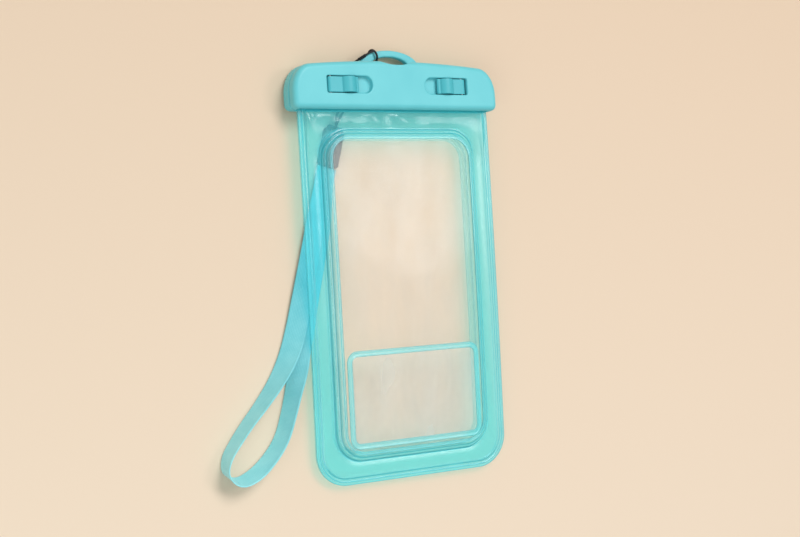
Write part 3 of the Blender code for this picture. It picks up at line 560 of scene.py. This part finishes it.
def hitch_tail():
    """The leg of the hitch that lies along the arch's outer edge and tucks back under the rear bar."""
    over, _ = hitch_centre()
    ring_top = ARCH_HEIGHT + HITCH_RADIUS
    places = [
        Vector((over.x - 0.0003, over.y + 0.0022, ring_top - 0.0006)),
        Vector((over.x - 0.0030, over.y + 0.0012, ring_top - 0.0006)),
        Vector((over.x - 0.0062, over.y - 0.0006, ring_top - 0.0005)),
        Vector((over.x - 0.0088, over.y - 0.0021, ring_top - 0.0012)),
        Vector((over.x - 0.0099, over.y - 0.0031, 0.0030)),
        Vector((over.x - 0.0092, over.y - 0.0040, CORD_RADIUS)),
        Vector((over.x - 0.0060, over.y - 0.0058, CORD_RADIUS)),
    ]
    return smooth_route(places, CORD_STEP)


WRAP_STEPS = 20


def knot_wraps(path, start, end, turns, reach):
    """A coil round part of a path, from start to end as shares of its points."""
    first, last = round(start * len(path)), round(end * len(path))
    steps = turns * WRAP_STEPS
    coil = []
    for i in range(steps + 1):
        place = first + (last - first) * i / steps
        low = int(place)
        point = path[low].lerp(path[low + 1], place - low)
        along = (path[low + 1] - path[low]).normalized()
        side = along.cross(Vector((0.0, 0.0, 1.0))).normalized()
        other = side.cross(along)
        angle = 2 * math.pi * turns * i / steps
        coil.append(point + side * (reach * math.cos(angle)) + other * (reach * math.sin(angle)))
    return coil


# The hitch is drawn tight, so its leg and knot are thinner than the loose cord, by these shares
TAIL_SHARE = 0.95
KNOT_SHARE = 0.85


def hitch_mesh():
    """The ring, its leg and the knot on the leg, as one mesh."""
    tail = hitch_tail()
    knot = knot_wraps(tail, start=0.30, end=0.50, turns=4, reach=0.00040)
    whole = twisted_tube(hitch_ring(), CORD_RADIUS, closed=True)
    parts = [
        twisted_tube(tail, CORD_RADIUS * TAIL_SHARE),
        twisted_tube(knot, CORD_RADIUS * KNOT_SHARE),
    ]
    for part in parts:
        held = bpy.data.meshes.new("held")
        part.to_mesh(held)
        part.free()
        whole.from_mesh(held)
        bpy.data.meshes.remove(held)
    return whole


cord_path = smooth_route(cord_route(), CORD_STEP)
lanyard = add_mesh("lanyard_cord_braid", twisted_tube(cord_path, CORD_RADIUS), cord_black)
dress(lanyard, "pouch", ["lanyard_cord"])
hitch = add_mesh("cord_hitch_braid", hitch_mesh(), cord_black)
dress(hitch, "pouch", ["cord_hitch"])


# Wrist ribbon, on the route in the part's source
RIBBON_STEP = 0.0015
SELVEDGE = 0.0006
SELVEDGE_WIDTH = 0.0004
SELVEDGE_RISE = 0.22
EDGE_ROUND = 0.00045

# A station's lean rides as a fourth coordinate, made small so that the spline's steps follow the places
LEAN_SCALE = 1e-5


def ribbon_stations():
    """Places along the ribbon's lower edge: x, y, height, and its lean in degrees from lying flat."""
    layer = RIBBON_THICKNESS + SEAT
    first = buckle_place(-RIBBON_WIDTH / 2, BUCKLE_LENGTH + SEAT, 0.0)
    last = buckle_place(-RIBBON_WIDTH / 2, BUCKLE_LENGTH + SEAT + RIBBON_WIDTH / 2, 0.0)
    return [
        (first.x, first.y, layer, 0),
        (-0.0453, 0.0318, layer, 0),
        (-0.0488, 0.0205, layer, 0),
        (-0.0522, 0.0085, layer, 2),
        (-0.0555, -0.0030, 0.0010, 6),
        (-0.0588, -0.0145, 0.0008, 12),
        (-0.0625, -0.0275, 0.0003, 24),
        (-0.0668, -0.0395, 0.0, 46),
        (-0.0725, -0.0500, 0.0, 62),
        (-0.0807, -0.0608, 0.0, 72),
        (-0.0872, -0.0682, 0.0, 76),
        (-0.0930, -0.0755, 0.0, 79),
        (-0.0976, -0.0830, 0.0, 84),
        (-0.0976, -0.0895, 0.0, 96),
        (-0.0925, -0.0925, 0.0, 110),
        (-0.0860, -0.0905, 0.0, 115),
        (-0.0781, -0.0846, 0.0, 113),
        (-0.0715, -0.0765, 0.0, 111),
        (-0.0675, -0.0665, 0.0, 113),
        (-0.0645, -0.0559, 0.0, 120),
        (-0.0625, -0.0470, 0.0, 135),
        (-0.0608, -0.0370, 0.0, 154),
        (-0.0579, -0.0270, 0.0, 164),
        (-0.0547, -0.0145, 0.0, 171),
        (-0.0514, -0.0030, 0.0, 175),
        (-0.0482, 0.0085, 0.0, 179),
        (-0.0451, 0.0205, 0.0, 180),
        (-0.0434, 0.0318, 0.0, 180),
        (last.x, last.y, 0.0, 180),
        (first.x, first.y, 0.0, 180),
    ]


def ribbon_section():
    """The strap's section as (across, off its middle plane): thicker edges, round ends."""
    half = RIBBON_THICKNESS / 2
    places = [0.00008, 0.00025, 0.00055, 0.00085, 0.0013, 0.0022, 0.0036]
    places += [RIBBON_WIDTH / 2] + [RIBBON_WIDTH - place for place in reversed(places)]
    upper = []
    for place in places:
        edge = min(place, RIBBON_WIDTH - place)
        thicker = SELVEDGE_RISE * math.exp(-((edge - SELVEDGE) / SELVEDGE_WIDTH) ** 2)
        body = (1.0 - SELVEDGE_RISE) + thicker
        upper.append((place, half * body * min(1.0, math.sqrt(edge / EDGE_ROUND))))
    return upper + [(place, -off) for place, off in reversed(upper)]


def ribbon_mesh():
    """The ribbon, with its own measure as a UV map in metres, and the path along its middle."""
    stations = [Vector((x, y, low, lean * LEAN_SCALE)) for x, y, low, lean in ribbon_stations()]
    route = smooth_route(stations, RIBBON_STEP)
    half = RIBBON_THICKNESS / 2
    section = ribbon_section()
    bm = bmesh.new()
    cloth = bm.loops.layers.uv.new("cloth")
    rows, path, alongs = [], [], []
    travelled = 0.0
    for i, station in enumerate(route):
        before = route[max(i - 1, 0)]
        after = route[min(i + 1, len(route) - 1)]
        travel = Vector((after.x - before.x, after.y - before.y, 0.0)).normalized()
        right = Vector((travel.y, -travel.x, 0.0))
        lean = math.radians(min(max(station.w / LEAN_SCALE, 0.0), 180.0))
        up = Vector((0.0, 0.0, 1.0))
        across = up * math.sin(lean) - right * math.cos(lean)
        face = up * math.cos(lean) + right * math.sin(lean)
        low = max(station.z, 0.0) + half * abs(math.cos(lean))
        foot = Vector((station.x, station.y, low))
        rows.append([bm.verts.new(foot + across * a + face * off) for a, off in section])
        path.append(foot + across * (RIBBON_WIDTH / 2))
        if i:
            travelled += (path[-1] - path[-2]).length
        alongs.append(travelled)
    count = len(section)
    for i in range(len(rows) - 1):
        for j in range(count):
            k = (j + 1) % count
            face = bm.faces.new((rows[i][j], rows[i][k], rows[i + 1][k], rows[i + 1][j]))
            for loop, (station, place) in zip(face.loops, ((i, j), (i, k), (i + 1, k), (i + 1, j))):
                loop[cloth].uv = (section[place][0], alongs[station])
    bm.faces.new(list(reversed(rows[0])))
    bm.faces.new(rows[-1])
    return bm, path


ribbon_bm, ribbon_path = ribbon_mesh()
ribbon = add_mesh("strap_ribbon_weave", ribbon_bm, webbing)
dress(ribbon, "pouch", ["strap_ribbon"])


# Floor and light
FLOOR_SIZE = 4.0
FLOOR_DROP = 0.0003
FLOOR_PAINTED_SHADE_FROM_Y = -0.16
FLOOR_PAINTED_SHADE_FULL_Y = 0.18


def floor_material():
    """A plain floor with painted shade that deepens slowly from the bag's lower end to past its clamp."""
    made = new_material("floor", (0.80, 0.66, 0.52), 0.75)
    coords = node(made, "ShaderNodeTexCoord").outputs["Object"]
    along = node(made, "ShaderNodeSeparateXYZ", Vector=coords).outputs["Y"]
    # Painted shade: the floor's colour darkens along Y, standing in for light that falls off past the clamp
    painted_shade_fall = spread(made, along, 0.0, 1.0, FLOOR_PAINTED_SHADE_FROM_Y, FLOOR_PAINTED_SHADE_FULL_Y)
    connect(made, blend_colours(made, painted_shade_fall, (0.83, 0.67, 0.52), (0.70, 0.53, 0.385)), "Base Color")
    fine = mottle(made, scale=900.0, detail=3.0)
    connect(made, spread(made, fine, 0.7, 0.8), "Roughness")
    return made


def stage_floor():
    bm = bmesh.new()
    bmesh.ops.create_grid(bm, x_segments=2, y_segments=2, size=FLOOR_SIZE)
    made = add_mesh("floor", bm, floor_material())
    made.location.z = -FLOOR_DROP


def area_light(name, place, target, size, power, colour=(1.0, 1.0, 1.0)):
    data = bpy.data.lights.new(name, "AREA")
    data.shape = "DISK"
    data.size = size
    data.energy = power
    data.color = colour
    made = bpy.data.objects.new(name, data)
    made.location = place
    made.rotation_euler = (Vector(place) - Vector(target)).to_track_quat("Z", "Y").to_euler()
    bpy.context.scene.collection.objects.link(made)


def studio_world():
    world = bpy.data.worlds.new("studio")
    world.use_nodes = True
    background = world.node_tree.nodes["Background"]
    background.inputs["Color"].default_value = (1.0, 0.98, 0.95, 1.0)
    background.inputs["Strength"].default_value = 0.42
    bpy.context.scene.world = world


MIDDLE = (0.0, 0.0, 0.0)
NECK = (0.0, 0.04, 0.0)

stage_floor()
area_light("key_light", (0.30, 0.95, 1.60), MIDDLE, size=0.95, power=19.0)
area_light("fill_light", (-0.75, -0.45, 0.80), MIDDLE, size=1.2, power=5.0, colour=(0.80, 0.97, 1.0))
area_light("sheen_light", (0.60, 0.16, 0.98), NECK, size=0.34, power=1.7)
studio_world()


# Bag
def arc(centre_x, centre_y, radius, start, end, steps):
    """Points on an arc, from one angle in degrees to another."""
    points = []
    for i in range(steps + 1):
        angle = math.radians(start + (end - start) * i / steps)
        points.append((centre_x + radius * math.cos(angle), centre_y + radius * math.sin(angle)))
    return points


CORNER_STEPS = 14
SIDE_STEPS = 72
END_STEPS = 44


def rounded_outline(half_width, bottom, top, bottom_radius, top_radius):
    """A rounded rectangle as a fine loop, anticlockwise from the middle of its bottom edge."""
    def line(start, end, steps):
        return [
            (start[0] + (end[0] - start[0]) * i / steps, start[1] + (end[1] - start[1]) * i / steps)
            for i in range(1, steps)
        ]

    low = arc(half_width - bottom_radius, bottom + bottom_radius, bottom_radius, -90, 0, CORNER_STEPS)
    high = arc(half_width - top_radius, top - top_radius, top_radius, 0, 90, CORNER_STEPS)
    right = [(0.0, bottom)] + line((0.0, bottom), low[0], END_STEPS // 2) + low
    right += line(low[-1], high[0], SIDE_STEPS) + high
    right += line(high[-1], (0.0, top), END_STEPS // 2) + [(0.0, top)]
    return right + [(-x, y) for x, y in reversed(right[1:-1])]


def sag(y):
    """How far the bag has dropped towards the surface that it lies on."""
    share = max(0.0, (CLAMP_BOTTOM - y) / BAG_LENGTH)
    return BAG_SAG * share**2


def bag_outline(inset_side, inset_bottom, top, radius, top_radius):
    return rounded_outline(BAG_WIDTH / 2 - inset_side, BAG_BOTTOM + inset_bottom, top, radius, top_radius)


def dish_outline(inset):
    radius = DISH_CORNER - inset
    return rounded_outline(
        BAG_WIDTH / 2 - SIDE_BAND - inset, DISH_BOTTOM + inset, DISH_TOP - inset, radius, radius
    )


def key_outlines():
    """The film's main loops: bag's edge, weld, middle of the band, dish's foot, dish's rim, window."""
    middle = (WELD_BORDER + SIDE_BAND) / 2
    return [
        bag_outline(0.0, 0.0, GRIP_TOP, BAG_CORNER, SEAT),
        bag_outline(WELD_BORDER, WELD_BORDER, GRIP_TOP - SEAT, BAG_CORNER - WELD_BORDER, SEAT),
        bag_outline(middle, middle, NECK_TOP, BAG_CORNER - WELD_BORDER, DISH_CORNER / 2),
        dish_outline(0.0),
        dish_outline(DISH_WALL),
        dish_outline(DISH_WALL + DISH_LIP),
    ]


# The film's section. Level counts the main loops, and each row is (level, height, depth of tone).
# Heights up to the dish's foot are above the weld, and from there on a share of the dish's wall.
WELD_LEVEL = 1.0
FOOT_LEVEL = 3.0
FOOT_RISE = 0.00030
BAND_SECTION = [
    (0.00, 0.00000, 0.75), (0.06, 0.00004, 0.35), (0.25, 0.00004, 0.10), (0.44, 0.00004, 0.20),
    (0.50, 0.00010, 0.80), (0.56, 0.00022, 0.45), (0.62, 0.00010, 0.80), (0.68, 0.00003, 0.15),
    (0.84, 0.00003, 0.05), (0.95, 0.00003, 0.30), (1.00, 0.00012, 0.90), (1.05, 0.00030, 0.85),
    (1.11, 0.00042, 0.30), (1.20, 0.00047, 0.10), (1.40, 0.00056, 0.00), (1.60, 0.00062, 0.00),
    (1.80, 0.00066, 0.00), (2.00, 0.00068, 0.00), (2.20, 0.00064, 0.00), (2.40, 0.00058, 0.00),
    (2.60, 0.00050, 0.00), (2.80, 0.00040, 0.08), (2.92, 0.00034, 0.35),
]
WALL_SECTION = [
    (3.00, 0.00, 1.00), (3.06, 0.06, 0.95), (3.13, 0.20, 0.50), (3.22, 0.38, 0.15), (3.30, 0.46, 0.00),
    (3.42, 0.48, 0.00), (3.52, 0.49, 0.30), (3.58, 0.51, 0.95), (3.64, 0.58, 0.85), (3.74, 0.78, 0.30),
    (3.86, 0.93, 0.05), (3.96, 1.00, 0.00), (4.08, 1.03, 0.10), (4.22, 1.01, 0.80), (4.32, 0.985, 0.75),
    (4.44, 1.00, 0.10), (4.70, 1.00, 0.00), (4.90, 1.00, 0.20), (5.00, 1.00, 0.90),
]


NECK_SHUTS_BELOW = 0.0016
NECK_SHUT_ABOVE = 0.0011


def neck_height(y):
    """How far the film stands off the weld near the clamp: full over the neck, shut in the clamp."""
    shut = smooth_share(y, CLAMP_BOTTOM - NECK_SHUTS_BELOW, CLAMP_BOTTOM + NECK_SHUT_ABOVE)
    return NECK_PUFF * (1.0 - shut)


RIPPLE_LEVEL = 1.05
NECK_FOLD = 0.0006
BAND_FOLD = 0.00034


def ripple(x, y, side, level):
    """Soft folds of slack film: up and down below the clamp, along the bands further down."""
    if level <= RIPPLE_LEVEL or level >= FOOT_LEVEL:
        return 0.0
    room = smooth_share(level, RIPPLE_LEVEL, 1.5) * (1.0 - smooth_share(level, 2.5, FOOT_LEVEL))
    held = smooth_share(y, CLAMP_BOTTOM - 0.0022, CLAMP_BOTTOM - 0.0002)
    near = smooth_share(y, DISH_TOP - 0.012, DISH_TOP + 0.001) * (1.0 - held)
    fold = noise.noise(Vector((x * 95.0, y * 22.0 + x * 10.0, 3.1 * side)))
    crease = abs(noise.noise(Vector((x * 60.0 - abs(x) * 22.0 + y * 50.0, 1.7 * side, y * 8.0))))
    slack = noise.noise(Vector((x * 20.0, y * 42.0, 7.3 * side)))
    folds = NECK_FOLD * (fold + 0.6) + NECK_FOLD * (1.0 - 2.5 * min(crease, 0.4))
    return room * (near * folds + BAND_FOLD * (slack + 0.5))


def film_rows(side, dish):
    """The film's inner skin as loops of (x, y, height above the weld, depth of tone)."""
    keys = key_outlines()
    rows = []
    for level, value, tone in BAND_SECTION + WALL_SECTION:
        low = min(int(level), len(keys) - 2)
        share = level - low
        row = []
        for (ax, ay), (bx, by) in zip(keys[low], keys[low + 1]):
            x = ax + (bx - ax) * share
            y = ay + (by - ay) * share
            over = smooth_share(y, DISH_TOP - DISH_CORNER, DISH_TOP)
            if level < FOOT_LEVEL:
                height = value
                if level > WELD_LEVEL:
                    height += (neck_height(y) - value) * over
                band = smooth_share(level, 0.7, 1.3) * (1.0 - smooth_share(level, 2.7, FOOT_LEVEL))
                deep = tone * (1.0 - over * band)
            else:
                foot = FOOT_RISE + (NECK_PUFF - FOOT_RISE) * over
                height = foot + (dish - SPLIT - foot) * value
                deep = tone
            height += SPLIT + max(0.0, ripple(x, y, side, level))
            row.append((x, y, height, deep))
        rows.append(row)
    return rows


def film_mesh(side, dish):
    """A film with an inner and an outer skin, and its depth of tone as a point attribute."""
    rows = film_rows(side, dish)
    bm = bmesh.new()
    tone = bm.verts.layers.float.new("tone")
    skins = []
    for extra in (0.0, FILM):
        skin = []
        for row in rows:
            made = []
            for x, y, height, deep in row:
                vert = bm.verts.new((x, y, WELD_PLANE + side * (height + extra) - sag(y)))
                vert[tone] = deep
                made.append(vert)
            skin.append(made)
        skins.append(skin)
    inner, outer = skins
    loops = inner + list(reversed(outer)) + [inner[0]]
    count = len(rows[0])
    for k, (first, second) in enumerate(zip(loops, loops[1:])):
        for i in range(count):
            j = (i + 1) % count
            face = bm.faces.new((first[i], first[j], second[j], second[i]))
            face.material_index = 1 if k < len(inner) - 1 else 0
    return bm


PANE_COLUMNS = 40
PANE_EDGE = 0.012
SAME_PLACE = 1e-6
SAME_ROW_DIGITS = 7


def pane_mesh(outline, height, thickness, side, wave):
    """A thin sheet over an outline that is symmetric in X, with slight waves that fade at its edge."""
    half = [(x, y) for x, y in outline[: len(outline) // 2 + 1] if x > SAME_PLACE]
    half.sort(key=lambda point: point[1])
    bottom, top = half[0][1], half[-1][1]
    ys = sorted({round(y, SAME_ROW_DIGITS) for _, y in half})
    widths = {}
    for x, y in half:
        key = round(y, SAME_ROW_DIGITS)
        widths[key] = max(widths.get(key, 0.0), x)
    bm = bmesh.new()
    skins = []
    for extra in (0.0, thickness):
        skin = []
        for y in ys:
            row = []
            for i in range(PANE_COLUMNS + 1):
                x = widths[y] * (2 * i / PANE_COLUMNS - 1)
                edge = smooth_share(min(widths[y] - abs(x), y - bottom, top - y), 0.0, PANE_EDGE)
                rise = wave * edge * noise.noise(Vector((x * 26.0, y * 17.0, 5.0 + side)))
                row.append(bm.verts.new((x, y, WELD_PLANE + side * (height + extra + rise) - sag(y))))
            skin.append(row)
        skins.append(skin)
    for skin in skins:
        for a, b in zip(skin, skin[1:]):
            for i in range(PANE_COLUMNS):
                bm.faces.new((a[i], a[i + 1], b[i + 1], b[i]))
    lower, upper = skins
    for i in (0, PANE_COLUMNS):
        for j in range(len(ys) - 1):
            bm.faces.new((lower[j][i], lower[j + 1][i], upper[j + 1][i], upper[j][i]))
    for j in (0, len(ys) - 1):
        for i in range(PANE_COLUMNS):
            bm.faces.new((lower[j][i], lower[j][i + 1], upper[j][i + 1], upper[j][i]))
    return bm


# The window reaches under the dish's lip, and lies a hair below the film there
WINDOW_TUCK = 0.0012
WINDOW_GAP = 0.00003
WINDOW_WAVE = 0.0005

for side, name, dish, strip, tinted in (
    (1, "front", FRONT_DISH, "front_mouth_strip", film),
    (-1, "back", BACK_DISH, "rear_mouth_strip", back_film),
):
    skin = add_mesh(f"{name}_film_skin", film_mesh(side, dish), tinted)
    skin.data.materials.append(film_inside)
    if name == "front":
        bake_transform(skin)
    else:
        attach(skin, "pouch")
    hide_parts(f"{name}_film", strip)
    outline = dish_outline(DISH_WALL + DISH_LIP - WINDOW_TUCK)
    pane = pane_mesh(outline, dish - WINDOW_SHEET - WINDOW_GAP, WINDOW_SHEET, side, WINDOW_WAVE)
    pane = add_mesh(f"{name}_window_pane", pane, clear)
    dress(pane, "pouch", [f"{name}_window"])


# Touch panel. Its sheet lies on the rim's inner edge, and both lie just above the window.
RIM_LIFT = 0.00052
RIM_SIDE_TONE = 0.4
TOUCH_LIFT = 0.00056
TOUCH_SHEET = 0.00030
TOUCH_OVERLAP = 0.0004
TOUCH_WAVE = 0.0001


def panel_outline(inset):
    edge = DISH_WALL + DISH_LIP + PANEL_EDGE_GAP
    half_width = BAG_WIDTH / 2 - SIDE_BAND - edge
    bottom = DISH_BOTTOM + edge
    radius = PANEL_CORNER - inset
    return rounded_outline(half_width - inset, bottom + inset, bottom + PANEL_LENGTH - inset, radius, radius)


# Each row is (share of the rim's width, height, depth of tone)
RIM_SECTION = [
    (0.00, 0.00010, 0.90), (0.05, 0.00036, 0.80), (0.12, 0.00050, 0.25), (0.22, 0.00046, 0.30),
    (0.32, 0.00034, 0.60), (0.45, 0.00032, 0.20), (0.60, 0.00032, 0.20), (0.72, 0.00036, 0.60),
    (0.80, 0.00050, 0.30), (0.88, 0.00054, 0.20), (0.95, 0.00036, 0.80), (1.00, 0.00010, 0.95),
]


def rim_mesh():
    """The rim's section, closed by a flat underside, all round the panel."""
    base = FRONT_DISH + RIM_LIFT
    underside = [(share, 0.0, RIM_SIDE_TONE) for share in (1.0, 0.5, 0.0)]
    bm = bmesh.new()
    tone = bm.verts.layers.float.new("tone")
    rows = []
    for share, height, deep in RIM_SECTION + underside:
        row = []
        for x, y in panel_outline(PANEL_RIM * share):
            vert = bm.verts.new((x, y, WELD_PLANE + base + height - sag(y)))
            vert[tone] = deep
            row.append(vert)
        rows.append(row)
    loops = rows + [rows[0]]
    count = len(rows[0])
    for first, second in zip(loops, loops[1:]):
        for i in range(count):
            j = (i + 1) % count
            bm.faces.new((first[i], first[j], second[j], second[i]))
    return bm


rim = add_mesh("touch_panel_rim_welded", rim_mesh(), rim_film)
dress(rim, "pouch", ["touch_panel_rim"])
outline = panel_outline(PANEL_RIM - TOUCH_OVERLAP)
touch = pane_mesh(outline, FRONT_DISH + TOUCH_LIFT, TOUCH_SHEET, 1, TOUCH_WAVE)
touch = add_mesh("touch_panel_sheet", touch, touch_clear)
dress(touch, "pouch", ["touch_panel"])


# Moulded pieces, softened from the frame's solids. A piece's voxel is the finest detail that it keeps.
BAR_VOXEL = 0.00038
STRIP_VOXEL = 0.0003
LEVER_VOXEL = 0.00014
BUCKLE_VOXEL = 0.00013
PIN_VOXEL = 0.00010
SMOOTHING = 0.5


def moulded(node_name, name, body, material, voxel, passes):
    """The node's solid with soft moulded edges, as a fine even mesh."""
    bm = bmesh.new()
    bm.from_mesh(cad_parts[node_name].data)
    bmesh.ops.remove_doubles(bm, verts=bm.verts, dist=1e-7)
    made = add_mesh(name, bm, material)
    remesh = made.modifiers.new("remesh", "REMESH")
    remesh.mode = "VOXEL"
    remesh.voxel_size = voxel
    remesh.use_smooth_shade = True
    smooth = made.modifiers.new("smooth", "SMOOTH")
    smooth.factor = SMOOTHING
    smooth.iterations = passes
    bpy.context.view_layer.update()
    evaluated = made.evaluated_get(bpy.context.evaluated_depsgraph_get())
    baked = bpy.data.meshes.new_from_object(evaluated)
    made.modifiers.clear()
    made.data = baked
    baked.materials.clear()
    baked.materials.append(material)
    baked.shade_smooth()
    return dress(made, body, [node_name])


for kind, ending, material, slot, voxel, passes in (
    ("clamp_bar", "moulding", plastic, "teal_plastic", BAR_VOXEL, 6),
    ("inner_plate", "moulding", inner_plastic, "teal_plastic", STRIP_VOXEL, 3),
    ("seal", "strip", rubber, "seal_rubber", STRIP_VOXEL, 3),
):
    for half, body in (("front", "front_clamp"), ("rear", "pouch")):
        moulded(f"{half}_{kind}", f"{half}_{kind}_{ending}", body, material, voxel, passes)
for hand in ("left", "right"):
    lever, pin = f"lock_lever_{hand}", f"lever_pin_{hand}"
    moulded(lever, f"{lever}_moulding", f"lever_{hand}", lever_plastic_painted_shade, LEVER_VOXEL, 5)
    moulded(pin, f"{pin}_turned", "front_clamp", steel, PIN_VOXEL, 3)
plug, socket = [
    moulded(half, f"{half}_moulding", "pouch", black_plastic, BUCKLE_VOXEL, 3)
    for half in ("buckle_plug", "buckle_socket")
]
